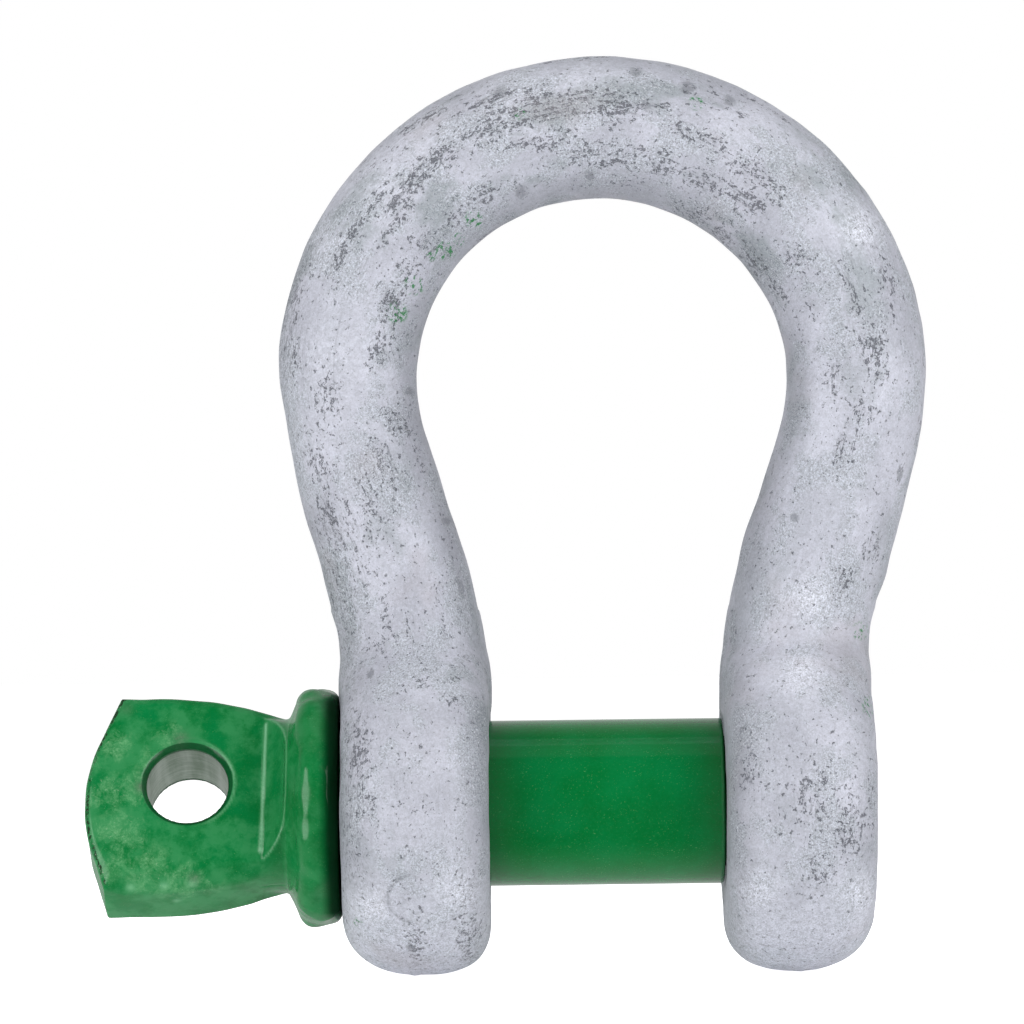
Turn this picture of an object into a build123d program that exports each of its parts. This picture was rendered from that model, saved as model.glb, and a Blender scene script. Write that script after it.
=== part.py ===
from build123d import *
import math
import os

# Bow shackle with a screw collar pin. All sizes are millimetres.
# Origin: on the pin's axis, midway between the two ears.
# +X runs along the pin to its threaded end, +Z up to the crown of the bow,
# and -Y is the side that the eye's front face looks to.

# Bow: a round bar bent to an arch, with a disc-shaped ear at each end
bar_dia = 22.0
arch_radius = 39.5            # of the bar's centreline
arch_height = 65.3            # arch centre above the pin's axis
leg_lean = 17.0               # degrees from vertical, below the arch
leg_bend_radius = 36.0        # where a leaning leg turns upright above its ear
mouth_width = 36.2            # clear gap between the ears
ear_thickness = 22.8
ear_radius = 26.4
ear_rim_depth = 8.8           # radial depth of the rim's rounding
shoulder_radius = 10.0        # hollow curve from the bar's side to the ear's rim
shoulder_steps = 7
shoulder_bite = 0.15          # how far its top end is sunk into the bar
shoulder_roots = [(6.0, 2.4), (3.0, 0.8)]   # sections sunk in the ear: depth, distance from its rim
plain_hole_dia = 27.5         # in the ear beside the collar
far_hole_dia = 24.4           # in the far ear: smooth, and clear of the thread for a straight draw
hole_chamfer = 0.8

# Screw pin: eye tab, neck, collar, shank and threaded end, forged in one
shank_dia = 25.6
collar_dia = 37.2
collar_thickness = 8.2
collar_gap = 0.25             # between the collar and the ear's face
shank_gap = 0.1               # between the shank's end and the far ear's face
collar_back_slope = 1.45      # how far the collar's outer face leans back
collar_outer_rounding = 3.0
collar_inner_rounding = 2.2
collar_drop = 0.35            # the collar is forged a little low on the pin
neck_radius = 13.3
neck_taper = 4.5              # degrees, widening from the collar towards the tab
neck_overlap = 3.0            # how far the neck is buried in the tab
shoulder_chamfer = 0.25       # on the shank's end
tab_thickness = 13.0
tab_tilt = 26.5               # how far the tab is turned back about the pin's axis, degrees
tab_edge_rounding = 1.3
ramp_length = 3.7             # from the tab's flat up to the round neck
eye_x = -64.7
eye_lift = 1.0                # the eye is punched a little off the tab's centreline
eye_dia = 12.6
eye_rim_dia = 14.1

# The tab's outline, as (x, half width) from the collar outwards. Its far end is
# forged unevenly: a flat curve that leans, so its upper corner is further back.
tab_half_width = 16.1
tab_flank = [(-56.0, 14.4), (-62.5, 15.7)]
tab_root_half_width = 12.0
tab_straight_x = -69.0
tab_upper_corner_x = -75.2
tab_end = [(-78.1, 9.4), (-79.9, 3.2), (-80.45, -1.5), (-79.95, -7.5), (-78.6, -12.0)]
tab_lower_corner_x = -77.3

# Thread on the pin's end
thread_dia = 24.0
thread_pitch = 3.0
thread_depth = 1.84
thread_relief = 2.4           # plain stretch between the shank and the thread
thread_end_setback = 0.5      # how far the pin's end stays inside the ear
thread_end_chamfer = 1.8
crest_flat = thread_pitch / 8
root_bite = 0.3               # how far the ridge is sunk into its core
relief_step = 0.05            # the relief is turned this much under the thread's root

bar_radius = bar_dia / 2
ear_x = (mouth_width + ear_thickness) / 2
ear_inner_x = mouth_width / 2
ear_outer_x = mouth_width / 2 + ear_thickness
collar_face_x = -(ear_outer_x + collar_gap)
collar_back_x = collar_face_x - collar_thickness
shank_end_x = ear_inner_x - shank_gap
pin_end_x = ear_outer_x - thread_end_setback
sink = 0.5                    # how far joined stretches of the pin run into each other
root_radius = thread_dia / 2 - thread_depth


def leg_points():
    """Where one leg's centreline changes from one curve to the next, as (x, z), for +X."""
    lean = math.radians(leg_lean)
    arch_end = (arch_radius * math.cos(lean), arch_height - arch_radius * math.sin(lean))
    corner_z = arch_end[1] - (arch_end[0] - ear_x) / math.tan(lean)
    tangent = leg_bend_radius * math.tan(lean / 2)
    bend_top = (ear_x + tangent * math.sin(lean), corner_z + tangent * math.cos(lean))
    bend_bottom = (ear_x, corner_z - tangent)
    return arch_end, bend_top, bend_bottom


def leg_place(z):
    """The leg centreline's x and its lean in radians at height z, for z below the arch."""
    arch_end, bend_top, bend_bottom = leg_points()
    if z <= bend_bottom[1]:
        return ear_x, 0.0
    if z <= bend_top[1]:
        turn = math.asin((z - bend_bottom[1]) / leg_bend_radius)
        return ear_x + leg_bend_radius * (1 - math.cos(turn)), turn
    lean = math.radians(leg_lean)
    return bend_top[0] + (z - bend_top[1]) * math.tan(lean), lean


def bar():
    """The round bar: up one leg, over the arch and down the other."""
    arch_end, bend_top, bend_bottom = leg_points()
    turn = math.radians(leg_lean / 2)
    bend_mid = (
        ear_x + leg_bend_radius * (1 - math.cos(turn)),
        bend_bottom[1] + leg_bend_radius * math.sin(turn),
    )

    def at(point, side):
        return (side * point[0], 0, point[1])

    edges = []
    for side in (-1, 1):
        edges += [
            Line((side * ear_x, 0, 0), at(bend_bottom, side)),
            ThreePointArc(at(bend_bottom, side), at(bend_mid, side), at(bend_top, side)),
            Line(at(bend_top, side), at(arch_end, side)),
        ]
    crown = (0, 0, arch_height + arch_radius)
    edges.append(ThreePointArc(at(arch_end, -1), crown, at(arch_end, 1)))
    section = Plane((-ear_x, 0, 0), z_dir=(0, 0, 1)) * Circle(bar_radius)
    return sweep(section, path=Wire(edges))


def ear(side):
    """A thick disc on the pin's axis, with a full round rim."""
    half = ear_thickness / 2
    rim_base = ear_radius - ear_rim_depth
    outline = [
        Line((half, 0), (half, rim_base)),
        EllipticalCenterArc((0, rim_base), half, ear_rim_depth, start_angle=0, arc_size=180),
        Line((-half, rim_base), (-half, 0)),
        Line((-half, 0), (half, 0)),
    ]
    disc = revolve(make_face(outline), axis=Axis.X)
    return Pos(side * ear_x, 0, 0) * disc


def shoulder(side):
    """The flare from the round bar to the wider ear, hollow on both its sides."""
    top_radius = bar_radius - shoulder_bite
    centre_y = top_radius + shoulder_radius
    centre_z = math.sqrt((ear_radius + shoulder_radius) ** 2 - centre_y**2)
    tangent_z = centre_z * ear_radius / (ear_radius + shoulder_radius)
    swollen = ear_thickness / 2
    outline = []
    for depth, margin in shoulder_roots:
        z = tangent_z - depth
        outline.append((z, math.sqrt(ear_radius**2 - z**2) - margin, swollen - margin / 8))
    for step in range(shoulder_steps):
        up = step / (shoulder_steps - 1)
        z = tangent_z + (centre_z - tangent_z) * up
        width = centre_y - math.sqrt(shoulder_radius**2 - (centre_z - z) ** 2)
        outline.append((z, width, swollen + (top_radius - swollen) * up))
    sections = []
    for z, width, thickness in outline:
        x, lean = leg_place(z)
        across = (math.cos(lean), 0, -side * math.sin(lean))
        along = (side * math.sin(lean), 0, math.cos(lean))
        plane = Plane((side * x, 0, z), x_dir=across, z_dir=along)
        sections.append(plane * Ellipse(thickness, width))
    return loft(sections)


def drilled(radius, x_from, x_to):
    """A cutter for a hole along X with a small chamfer at both mouths."""
    past = 1.0
    outline = [
        (x_from - past, 0),
        (x_from - past, radius + hole_chamfer + past),
        (x_from + hole_chamfer, radius),
        (x_to - hole_chamfer, radius),
        (x_to + past, radius + hole_chamfer + past),
        (x_to + past, 0),
    ]
    return revolve(make_face(Polyline(*outline, close=True)), axis=Axis.X)


def bow():
    solid = bar()
    for side in (-1, 1):
        solid += shoulder(side)
        solid += ear(side)
    solid -= drilled(plain_hole_dia / 2, -ear_outer_x, -ear_inner_x)
    solid -= drilled(far_hole_dia / 2, ear_inner_x, ear_outer_x)
    return solid


def collar():
    """The thick collar, turned round with a rounded rim."""
    rim = collar_dia / 2
    back = collar_back_x
    face = collar_face_x
    profile = Polyline(
        (back, 0),
        (back, neck_radius),
        (back + collar_back_slope, rim),
        (face, rim),
        (face, 0),
        close=True,
    )
    sketch = make_face(profile)
    outer = sketch.vertices().sort_by_distance((back + collar_back_slope, rim))[0]
    sketch = fillet(outer, collar_outer_rounding)
    inner = sketch.vertices().sort_by_distance((face, rim))[0]
    sketch = fillet(inner, collar_inner_rounding)
    return Pos(0, 0, -collar_drop) * revolve(sketch, axis=Axis.X)


def shank():
    """The plain stretch that the load bears on, from inside the collar to the far ear."""
    radius = shank_dia / 2
    start_x = collar_face_x - sink
    profile = Polyline(
        (start_x, 0),
        (start_x, radius),
        (shank_end_x - shoulder_chamfer, radius),
        (shank_end_x, radius - shoulder_chamfer),
        (shank_end_x, 0),
        close=True,
    )
    return revolve(make_face(profile), axis=Axis.X)


def eye_tab():
    """The flat tab in its own plane: local Y is the tab's width, Z its thickness."""
    w = tab_half_width
    root_x = collar_back_x + sink
    top = Spline(
        (root_x, tab_root_half_width),
        *tab_flank,
        (tab_straight_x, w),
        tangents=[(-1, 0.3), (-1, 0)],
    )
    outline = [
        top,
        Line((tab_straight_x, w), (tab_upper_corner_x, w)),
        Spline((tab_upper_corner_x, w), *tab_end, (tab_lower_corner_x, -w)),
        Line((tab_lower_corner_x, -w), (tab_straight_x, -w)),
        mirror(top, about=Plane.XZ),
        Line((root_x, -tab_root_half_width), (root_x, tab_root_half_width)),
    ]
    plate = extrude(make_face(outline), tab_thickness / 2, both=True)
    flats = plate.faces().sort_by(Axis.Z)
    rims = [edge for flat in (flats[0], flats[-1]) for edge in flat.edges()]
    outer_rims = [edge for edge in rims if edge.center().X < root_x - 0.1]
    return fillet(outer_rims, tab_edge_rounding)


def neck():
    """The round neck between tab and collar, with a hollow ramp up from each flat of the tab."""
    flat = tab_thickness / 2
    ramp_start_x = collar_back_x - ramp_length
    buried_x = ramp_start_x - neck_overlap
    end_x = collar_back_x + sink
    rise = neck_radius - flat
    hollow = (ramp_start_x + 0.62 * ramp_length, flat + 0.38 * rise)
    profile = [
        Line((buried_x, 0), (buried_x, flat)),
        Line((buried_x, flat), (ramp_start_x, flat)),
        ThreePointArc((ramp_start_x, flat), hollow, (end_x, neck_radius + 0.8)),
        Line((end_x, neck_radius + 0.8), (end_x, 0)),
        Line((end_x, 0), (buried_x, 0)),
    ]
    wedge = extrude(Plane.XZ * make_face(profile), neck_radius + 1, both=True)
    wedge += mirror(wedge, about=Plane.XY)
    far_radius = neck_radius + (end_x - buried_x) * math.tan(math.radians(neck_taper))
    cone = Polyline((end_x, 0), (end_x, neck_radius), (buried_x, far_radius), (buried_x, 0), close=True)
    return wedge & revolve(make_face(cone), axis=Axis.X)


def eye_cutter():
    """The eye's bore, opened out at both faces of the tab."""
    r = eye_dia / 2
    rim = eye_rim_dia / 2
    half = tab_thickness / 2
    flare = rim - r
    outline = Polyline(
        (0, -half - 1),
        (rim + 1, -half - 1),
        (rim, -half),
        (r, -half + flare),
        (r, half - flare),
        (rim, half),
        (rim + 1, half + 1),
        (0, half + 1),
        close=True,
    )
    cutter = revolve(Plane.XZ * make_face(outline), axis=Axis.Z)
    return Pos(eye_x, eye_lift, 0) * cutter


def thread():
    """The threaded end: a helical ridge on a core, run out into a relief at the shank."""
    crest = thread_dia / 2
    start_x = shank_end_x
    over = thread_pitch
    height = pin_end_x - start_x - thread_relief + 2 * over
    helix = Helix(
        pitch=thread_pitch,
        height=height,
        radius=root_radius,
        center=(start_x + thread_relief - over, 0, 0),
        direction=(1, 0, 0),
    )
    flank = math.tan(math.radians(30))
    half_crest = crest_flat / 2
    half_root = half_crest + thread_depth * flank
    half_sunk = half_root + root_bite * flank
    start = helix @ 0
    section_plane = Plane(start, x_dir=(0, start.Y, start.Z), z_dir=helix % 0)
    ridge_face = section_plane * make_face(
        Polyline(
            (-root_bite, -half_sunk),
            (-root_bite, half_sunk),
            (thread_depth, half_crest),
            (thread_depth, -half_crest),
            close=True,
        )
    )
    ridge = sweep(ridge_face, path=helix, is_frenet=True)
    blank_outline = Polyline(
        (start_x - sink, 0),
        (start_x - sink, root_radius - relief_step),
        (start_x + thread_relief, root_radius - relief_step),
        (start_x + thread_relief + thread_depth, crest),
        (pin_end_x - thread_end_chamfer, crest),
        (pin_end_x, crest - thread_end_chamfer),
        (pin_end_x, 0),
        close=True,
    )
    blank = revolve(make_face(blank_outline), axis=Axis.X)
    core_start = Plane((start_x - sink, 0, 0), z_dir=(1, 0, 0))
    core = extrude(core_start * Circle(root_radius), over + height)
    return (core + ridge) & blank


def screw_pin():
    turned_back = Rot(90 - tab_tilt, 0, 0)
    head = eye_tab() + neck()
    head -= eye_cutter()
    return collar() + shank() + turned_back * head + thread()


os.makedirs("parts", exist_ok=True)
for name, solid in (("bow", bow()), ("screw_pin", screw_pin())):
    solid.label = name
    export_step(solid, f"parts/{name}.step")
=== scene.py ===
import cmath
import math

import bpy
import numpy as np
import openvdb
from mathutils import Matrix, Vector


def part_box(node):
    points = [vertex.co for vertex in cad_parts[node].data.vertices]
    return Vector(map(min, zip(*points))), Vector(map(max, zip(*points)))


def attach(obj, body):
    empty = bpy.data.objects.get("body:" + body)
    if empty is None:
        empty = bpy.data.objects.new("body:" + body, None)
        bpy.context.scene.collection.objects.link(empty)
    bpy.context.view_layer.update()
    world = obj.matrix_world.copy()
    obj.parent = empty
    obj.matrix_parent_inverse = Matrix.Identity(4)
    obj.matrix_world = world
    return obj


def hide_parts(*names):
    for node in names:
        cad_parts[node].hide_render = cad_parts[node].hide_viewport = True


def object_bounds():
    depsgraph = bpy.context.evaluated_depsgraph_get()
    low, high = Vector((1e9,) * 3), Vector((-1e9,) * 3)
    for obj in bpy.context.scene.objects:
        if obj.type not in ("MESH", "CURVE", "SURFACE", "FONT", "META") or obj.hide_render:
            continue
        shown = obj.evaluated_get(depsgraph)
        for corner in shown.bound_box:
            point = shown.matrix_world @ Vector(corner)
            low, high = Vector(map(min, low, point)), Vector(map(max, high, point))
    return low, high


# Bow shackle with a screw collar pin. Shapes are worked out in millimetres, in the
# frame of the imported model, and turned into metres when a mesh is made.
MM = 0.001

# Bow
BAR_RADIUS = 11.0
ARCH_RADIUS = 39.5              # of the bar's middle line
ARCH_Z = 65.3
LEG_LEAN = math.radians(17.0)
BEND_RADIUS = 36.0              # where the leg straightens above the ear
EAR_INNER_X = 18.1
EAR_OUTER_X = 40.9
EAR_X = (EAR_INNER_X + EAR_OUTER_X) / 2
EAR_HALF = (EAR_OUTER_X - EAR_INNER_X) / 2
EAR_RADIUS = 26.4
EAR_RIM = 8.8
SHOULDER_RADIUS = 10.0
PLAIN_HOLE_RADIUS = 13.75
FAR_HOLE_RADIUS = 12.2
HOLE_CHAMFER = 0.8
TAPPED_DEPTH = 1.1              # of the thread's grooves outside the far hole
BOSS = (-29.9, -13.6, 3.65)     # a round hollow on the left ear, open to the right: x, z, radius
KNOB = (-38.3, -17.3, 0.7)      # a small knob on the same ear: x, z, reach

# The leg touches the arch and the bend, so where they meet follows
ARCH_END = (ARCH_RADIUS * math.cos(LEG_LEAN), ARCH_Z - ARCH_RADIUS * math.sin(LEG_LEAN))
BEND_X = EAR_X + BEND_RADIUS
BEND_TOP_X = BEND_X - BEND_RADIUS * math.cos(LEG_LEAN)
LEG_LONG = (ARCH_END[0] - BEND_TOP_X) / math.sin(LEG_LEAN)
BEND_Z = ARCH_END[1] - LEG_LONG * math.cos(LEG_LEAN) - BEND_RADIUS * math.sin(LEG_LEAN)

# Screw pin
SHANK_RADIUS = 12.8
SHANK_END_X = 18.0
SHANK_CHAMFER = 0.2
PIN_END_X = 40.4
COLLAR_RADIUS = 18.6
COLLAR_FACE_X = -41.15
COLLAR_BACK_X = -49.35
HEAD_X = COLLAR_BACK_X + 0.5    # where the tab and neck start, a little inside the collar
COLLAR_SLOPE = 1.45
COLLAR_ROUNDING = 2.2           # of the rim by the ear
COLLAR_OUTER_ROUNDING = 3.0
COLLAR_FALL = 0.2               # how far the rim drops towards the ear
COLLAR_DROP = 0.35              # the collar sits a little low on the pin
NECK_RADIUS = 13.3
NECK_TAPER = math.tan(math.radians(4.5))
RAMP_X = -53.05                 # where the tab's flats end and ramp up to the neck
TAB_HALF = 6.5
TAB_TILT = math.radians(26.5)
TAB_ROUNDING = 1.3
TAB_LOW_ROUNDING = 3.6          # on the lower rim of the tab's front
TAB_TOP_ROUNDING = 1.6          # on its upper rim
TAB_WIDTH = 16.1                # from the middle to either edge
TAB_FLANK = [(HEAD_X, 12.0), (-56.0, 14.4), (-62.5, 15.7), (-69.0, TAB_WIDTH)]
TAB_END = [
    (-75.2, TAB_WIDTH),
    (-78.1, 9.4),
    (-79.9, 3.2),
    (-80.45, -1.5),
    (-79.95, -7.5),
    (-78.6, -12.0),
    (-77.3, -TAB_WIDTH),
]
EYE_X = -64.7
EYE_LIFT = 1.0
EYE_RADIUS = 6.3
EYE_CHAMFER = 0.75
THREAD_RADIUS = 12.0
THREAD_ROOT = 10.16
THREAD_PITCH = 3.0
THREAD_RELIEF = 2.4
THREAD_CHAMFER = 1.8

# Steps of the grids that the two skins are taken from
BOW_STEP = 0.66
PIN_STEP = 0.34
# How much of a distance is true where it is measured aslant, and on the thread's flanks
SLANT = 0.75
FLANK_SLANT = 0.6

# Marks on the bow's front, as (x, z, reach) in millimetres: green paint that rubbed off
GREEN_PLACES = [
    (-19.4, 90.1, 1.5),
    (-21.8, 87.2, 1.0),
    (-23.8, 85.4, 1.5),
    (-25.8, 84.8, 1.2),
    (-28.8, 80.0, 1.6),
    (-31.4, 75.8, 1.7),
    (-12.2, 106.2, 1.0),
    (15.0, 107.5, 1.2),
    (39.4, 26.0, 1.5),
    (40.4, 14.4, 1.8),
    (-38.3, -17.3, 0.8),
]
# Dark worn patches
WORN_PLACES = [
    (-31.3, 93.0, 2.2),
    (-28.0, 96.2, 2.2),
    (-24.9, 99.4, 2.2),
    (-7.0, 101.6, 2.8),
    (-1.5, 100.8, 2.8),
    (4.0, 99.6, 2.8),
    (9.8, 98.1, 2.8),
    (16.0, 95.8, 2.4),
    (22.4, 92.3, 2.4),
    (-15.8, 108.5, 2.4),
    (-10.5, 108.6, 2.6),
    (-4.5, 107.6, 3.2),
    (2.0, 106.3, 3.0),
    (13.7, 102.8, 2.2),
    (18.5, 100.5, 2.2),
    (23.0, 97.5, 2.4),
    (15.0, 90.7, 2.2),
    (19.0, 87.5, 2.2),
    (23.0, 83.0, 2.4),
    (-32.2, 77.8, 2.4),
    (-30.2, 82.2, 2.2),
    (-26.6, 86.8, 2.2),
    (-22.5, 90.8, 2.0),
    (-18.0, 94.0, 2.0),
    (-47.0, 79.0, 1.4),
    (-47.6, 74.5, 1.5),
    (-47.4, 69.5, 1.4),
    (-43.7, 52.4, 2.2),
    (-42.7, 44.6, 2.2),
    (-33.9, 69.5, 1.8),
    (-41.8, 62.4, 2.5),
    (-31.6, 59.0, 2.6),
    (-33.4, 51.5, 3.2),
    (-35.7, 44.5, 3.2),
    (30.3, 83.0, 2.2),
    (38.6, 77.3, 2.0),
    (44.3, 79.2, 2.0),
    (40.4, 69.5, 2.2),
    (35.8, 64.6, 2.0),
    (39.2, 59.5, 2.0),
    (36.4, 53.2, 2.2),
    (41.2, 38.5, 2.0),
    (36.4, 33.6, 2.2),
    (-37.5, 9.5, 2.6),
    (-37.2, 1.6, 2.2),
    (-29.5, -20.5, 2.6),
    (-21.7, -20.3, 2.6),
    (31.0, 1.0, 3.4),
    (36.5, -3.0, 3.4),
    (31.5, -10.6, 2.2),
    (21.6, 5.6, 2.2),
]
# Round pits
PIT_PLACES = [
    (13.8, 110.0, 1.4),
    (7.5, 107.1, 1.2),
    (20.2, 108.0, 1.2),
    (5.8, 112.6, 1.3),
    (-15.1, 109.7, 1.4),
    (-12.0, 94.3, 1.2),
    (-1.5, 96.7, 1.1),
    (-29.7, 63.8, 1.0),
    (-24.2, 43.8, 0.9),
    (29.3, 43.6, 0.9),
]
# Zinc that stayed smooth and clean
CLEAN_PLACES = [
    (-42.0, 74.0, 7.0),
    (-40.0, 66.0, 6.0),
    (33.0, 44.0, 5.0),
    (29.5, -16.0, 6.0),
    (-27.5, 0.0, 7.0),
    (27.5, 8.0, 6.0),
]
# Zinc that is whiter than the rest; the four places low on the ears are whiter zinc and also painted light
# from below
WHITE_PLACES = [
    (-36.0, -15.0, 4.0),
    (-22.5, -13.0, 4.0),
    (22.0, -13.0, 4.0),
    (38.0, -14.0, 4.0),
    (29.5, 20.0, 3.5),
    (31.0, 31.0, 4.0),
    (40.0, 88.0, 3.5),
]
# Zinc that is only a little whiter
PALE_PLACES = [
    (-2.0, 112.0, 5.0),
    (-14.0, 111.0, 5.0),
    (-27.0, 105.0, 5.0),
    (-36.0, 97.0, 5.0),
    (-42.5, 88.0, 4.0),
    (-41.0, 69.0, 5.0),
]

# Marks on the pin's tab, as (x, y, z, reach) in millimetres: scraped paint
SCUFF_PLACES = [
    (-67.5, -2.5, 11.0, 2.6),
    (-70.0, -5.0, 8.0, 3.0),
    (-72.5, -6.5, 3.5, 3.2),
    (-75.5, -3.0, 10.0, 2.6),
    (-77.0, -6.5, 2.5, 3.4),
    (-74.5, -9.0, -3.5, 4.2),
    (-76.5, -10.5, -8.5, 3.0),
    (-70.0, -11.5, -9.5, 3.8),
    (-65.5, -12.0, -12.0, 4.0),
    (-61.5, -12.0, -14.0, 3.4),
    (-66.0, -11.5, -17.0, 2.4),
    (-79.0, -2.0, 6.0, 2.6),
]
# Drops of paint that dried pale
DROP_PLACES = [
    (-68.1, -11.3, -11.7, 0.65),
    (-63.8, -11.3, -11.7, 0.7),
    (-66.4, -7.6, -14.2, 0.6),
    (-73.2, -11.2, -11.9, 0.6),
]
# Dark smudges
SMUDGE_PLACES = [
    (-65.9, -1.2, 10.2, 1.25),
    (-70.6, -4.2, 4.2, 1.3),
    (-74.2, 1.5, 14.8, 1.1),
    (-71.8, -5.2, 3.2, 1.0),
    (-63.5, -10.8, -10.5, 0.9),
]

# Uneven forging: (side, +1 for the bar's outer face or -1 for its inner one, height,
# spread, how far the face stands out), all in millimetres
BAR_WAVES = [
    (-1, 1, 57.0, 9.0, -1.30),
    (-1, 1, 77.0, 9.0, -0.35),
    (-1, 1, 38.0, 5.0, -0.35),
    (-1, 1, 22.0, 4.0, 0.25),
    (-1, -1, 76.0, 13.0, -0.20),
    (-1, -1, 38.5, 4.5, 0.25),
    (-1, -1, 25.0, 5.0, -0.40),
    (1, -1, 68.0, 13.0, -0.35),
    (1, -1, 40.0, 5.5, 0.45),
    (1, -1, 24.5, 3.0, -0.25),
    (1, -1, 15.5, 3.0, 0.25),
    (1, 1, 57.0, 9.0, -0.45),
    (1, 1, 34.5, 2.2, 0.30),
    (1, 1, 27.5, 2.4, -0.25),
    (1, 1, 21.0, 2.0, 0.35),
]

# Dents across the shoulders: (side, height, spread, depth)
SHOULDER_DENTS = [
    (1, 24.1, 1.3, 0.34),
    (1, 17.0, 1.6, 0.22),
    (-1, 24.5, 2.2, 0.20),
]

# Studio levels: 1.0 is paper white
FLOOR_SEEN = 0.92
FLOOR_BOUNCE = 0.32
ROOM_DARK = 0.03
ROOM_BRIGHT = 0.7
ROOM_GLOSS = 0.9                # how much of the room shows in reflections

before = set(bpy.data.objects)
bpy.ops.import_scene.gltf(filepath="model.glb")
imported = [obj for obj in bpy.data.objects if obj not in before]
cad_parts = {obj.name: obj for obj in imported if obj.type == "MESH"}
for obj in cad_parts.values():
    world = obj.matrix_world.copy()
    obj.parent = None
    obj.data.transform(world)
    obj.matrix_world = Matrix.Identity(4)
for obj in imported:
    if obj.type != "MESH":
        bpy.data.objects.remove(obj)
cad_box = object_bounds()


# ------------------------------ fields

def smooth_min(a, b, reach):
    blend = np.maximum(reach - np.abs(a - b), 0.0) / reach
    return np.minimum(a, b) - blend * blend * reach / 4


def smooth_max(a, b, reach):
    return -smooth_min(-a, -b, reach)


def smooth_step(low, high, value):
    t = np.clip((value - low) / (high - low), 0.0, 1.0)
    return t * t * (3 - 2 * t)


def polygon_distance(px, py, corners):
    """Signed distance to a closed polygon, negative inside."""
    best = np.full(px.shape, np.inf)
    inside = np.zeros(px.shape, bool)
    for (ax, ay), (bx, by) in zip(corners, corners[1:] + corners[:1]):
        ex, ey = bx - ax, by - ay
        wx, wy = px - ax, py - ay
        t = np.clip((wx * ex + wy * ey) / (ex * ex + ey * ey), 0.0, 1.0)
        best = np.minimum(best, (wx - ex * t) ** 2 + (wy - ey * t) ** 2)
        if ey != 0:
            crossed = ((ay > py) != (by > py)) & (px < ax + wy * ex / ey)
            inside ^= crossed
    return np.where(inside, -1.0, 1.0) * np.sqrt(best)


def rounded_slab(flat_distance, height, half, rounding):
    """A flat outline pulled to a thickness, with its rims rounded."""
    a = flat_distance + rounding
    b = np.abs(height) - (half - rounding)
    return np.minimum(np.maximum(a, b), 0.0) + np.hypot(np.maximum(a, 0), np.maximum(b, 0)) - rounding


class Lumps:
    """Smooth unevenness: plane waves in seeded directions, about -1 to 1."""

    def __init__(self, seed, size, count=18):
        rng = np.random.default_rng(seed)
        way = rng.normal(size=(count, 3))
        way /= np.linalg.norm(way, axis=1)[:, None]
        self.waves = way * (2 * math.pi / (size * rng.uniform(0.7, 1.6, count)))[:, None]
        self.phases = rng.uniform(0, 2 * math.pi, count)

    def __call__(self, x, y, z):
        total = np.zeros(x.shape)
        for (kx, ky, kz), phase in zip(self.waves, self.phases):
            total += np.sin(kx * x + ky * y + kz * z + phase)
        return total / math.sqrt(2 * len(self.phases))


# ------------------------------ bow

def bar_frame(x, z):
    """Where a point lies along the bent bar: across it in the bow's plane (outwards
    positive), along it from the crown, and how far the nearest end is overrun."""
    ax = np.abs(x)
    sin_l, cos_l = math.sin(LEG_LEAN), math.cos(LEG_LEAN)
    angle = np.arctan2(z - ARCH_Z, ax)
    low = -LEG_LEAN
    arch_over = np.where(angle < low, ARCH_RADIUS * (low - angle), 0.0)
    arch = (np.hypot(ax, z - ARCH_Z) - ARCH_RADIUS, ARCH_RADIUS * (math.pi / 2 - angle), arch_over)
    arch_long = ARCH_RADIUS * (math.pi / 2 + LEG_LEAN)

    dx, dz = ax - ARCH_END[0], z - ARCH_END[1]
    along = -dx * sin_l - dz * cos_l
    leg_over = np.maximum(np.maximum(-along, along - LEG_LONG), 0.0)
    leg = (dx * cos_l - dz * sin_l, arch_long + along, leg_over)

    bx, bz = BEND_X - ax, z - BEND_Z
    turn = np.arctan2(bz, bx)
    bend_over = BEND_RADIUS * np.maximum(np.maximum(-turn, turn - LEG_LEAN), 0.0)
    bend_start = arch_long + LEG_LONG
    bend = (BEND_RADIUS - np.hypot(bx, bz), bend_start + BEND_RADIUS * (LEG_LEAN - turn), bend_over)

    foot_start = bend_start + BEND_RADIUS * LEG_LEAN
    foot_over = np.maximum(z - BEND_Z, 0.0)
    foot = (ax - EAR_X, foot_start + BEND_Z - z, foot_over)

    across, run, over = arch
    for piece in (leg, bend, foot):
        nearer = piece[0] ** 2 + piece[2] ** 2 < across**2 + over**2
        across = np.where(nearer, piece[0], across)
        run = np.where(nearer, piece[1], run)
        over = np.where(nearer, piece[2], over)
    return across, run, over


def bar_swell(side, face, z):
    """How far the bar's outer or inner face stands out at a height."""
    total = np.zeros(z.shape)
    for wave_side, wave_face, height, spread, amount in BAR_WAVES:
        here = (np.sign(side) == wave_side) & (np.sign(face) == wave_face)
        total += here * amount * np.exp(-(((z - height) / spread) ** 2))
    return total


def bar_distance(x, y, z, across):
    length = np.hypot(across, y)
    facing = across / np.maximum(length, 0.1)
    swell = bar_swell(x, across, z) * facing**2
    ends = np.minimum(z, 0.0)
    return np.hypot(length, ends) - BAR_RADIUS - swell


def ear_distance(x, y, z):
    u = np.abs(x) - EAR_X
    radius = np.hypot(y, z)
    past = np.maximum(radius - (EAR_RADIUS - EAR_RIM), 0.0) / EAR_RIM
    thick = np.abs(u) / EAR_HALF
    power = np.where(u < 0, 2.7, 2.15)
    k = np.maximum(thick**power + past**power, 1e-9) ** (1 / power)
    slope_x = (thick / np.maximum(k, 1e-6)) ** (power - 1) / EAR_HALF
    slope_r = (past / np.maximum(k, 1e-6)) ** (power - 1) / EAR_RIM
    return (k - 1) / np.maximum(np.hypot(slope_x, slope_r), 0.05)


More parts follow.
